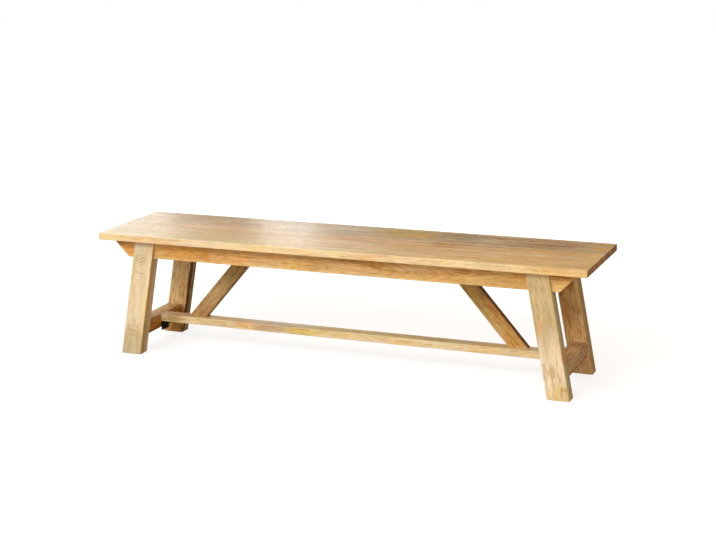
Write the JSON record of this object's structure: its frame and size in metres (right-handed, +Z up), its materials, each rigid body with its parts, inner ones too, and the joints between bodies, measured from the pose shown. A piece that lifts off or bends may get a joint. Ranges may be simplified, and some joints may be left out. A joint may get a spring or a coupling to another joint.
{
  "type": "bench",
  "caption": "Long wooden bench with a boarded seat, splayed legs bridled over deep aprons, cross rails, a central stretcher and diagonal braces.",
  "frame": {"origin": "on the floor under the middle of the seat", "axes": "+X along the seat's length, +Y towards the rear, +Z up"},
  "size_m": [1.79, 0.417, 0.45],
  "materials": {
    "seat_wood": "oiled hardwood, lightly polished",
    "apron_wood": "oiled hardwood, warm honey",
    "leg_wood": "oiled hardwood, pale",
    "rail_wood": "oiled hardwood",
    "brace_wood": "oiled hardwood",
    "bearer_wood": "sawn hardwood, unfinished",
    "dowel_wood": "plain beech",
    "bracket_steel": "black powder coat",
    "screw_steel": "zinc plated"
  },
  "bodies": {
    "root": {"seat_board_1": "seat_wood", "seat_board_2": "seat_wood", "seat_board_3": "seat_wood", "seat_board_4": "seat_wood", "seat_board_5": "seat_wood", "apron_front": "apron_wood", "apron_rear": "apron_wood", "leg_front_left": "leg_wood", "leg_front_right": "leg_wood", "leg_rear_left": "leg_wood", "leg_rear_right": "leg_wood", "cross_rail_left": "rail_wood", "cross_rail_right": "rail_wood", "stretcher": "rail_wood", "brace_left": "brace_wood", "brace_right": "brace_wood", "end_bearer_left": "bearer_wood", "end_bearer_right": "bearer_wood", "brace_bearer_left": "bearer_wood", "brace_bearer_right": "bearer_wood", "bearer_dowels": "dowel_wood", "stretcher_bracket_left": "bracket_steel", "stretcher_bracket_right": "bracket_steel", "bracket_screws": "bracket_steel", "seat_screws": "screw_steel", "brace_screws": "screw_steel"}
  },
  "joints": []
}
